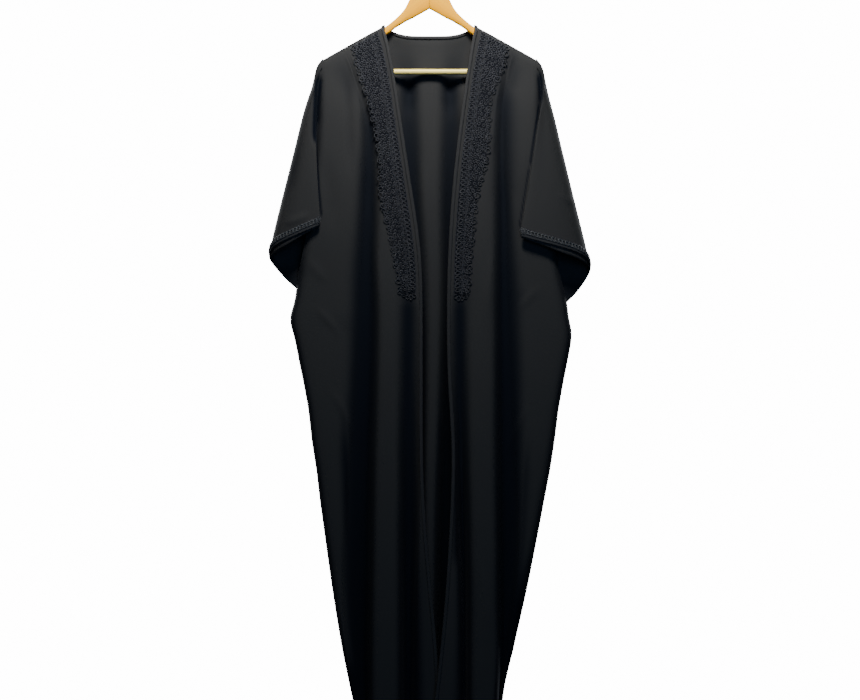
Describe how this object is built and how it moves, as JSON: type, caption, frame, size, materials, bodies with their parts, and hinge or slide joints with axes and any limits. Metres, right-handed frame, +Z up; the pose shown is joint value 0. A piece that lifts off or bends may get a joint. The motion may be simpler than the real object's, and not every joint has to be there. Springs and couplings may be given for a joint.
{
  "type": "abaya cloak on a wooden hanger",
  "caption": "Long open-front abaya cloak in black crepe with lace bands down the front and beaded cuffs, hanging on a wooden hanger with a brass bar.",
  "frame": {"origin": "inside top of the hanger's hook, where the rail bears on it; the cloak hangs below it", "axes": "+Z up; +X towards the side that is on the viewer's right from the front; -Y to the front"},
  "size_m": [0.6463, 0.1301, 1.6143],
  "materials": {
    "black_crepe": "matte heavy crepe",
    "black_lace": "matte lace and braid",
    "black_binding": "soft satin binding",
    "honey_wood": "satin varnish",
    "brass": "polished"
  },
  "bodies": {
    "root": {"front_left": "black_crepe", "front_right": "black_crepe", "back": "black_crepe", "sleeve_left": "black_crepe", "sleeve_right": "black_crepe", "cuff_braid_left": "black_lace", "cuff_braid_right": "black_lace", "cuff_facing_left": "black_binding", "cuff_facing_right": "black_binding", "lace_inner_left": "black_lace", "lace_inner_right": "black_lace", "lace_outer_left": "black_lace", "lace_outer_right": "black_lace", "edge_binding_left": "black_binding", "edge_binding_right": "black_binding", "neck_binding": "black_binding", "hanger_arm_left": "honey_wood", "hanger_arm_right": "honey_wood", "trouser_bar": "brass", "hanger_hook": "brass"}
  },
  "joints": []
}
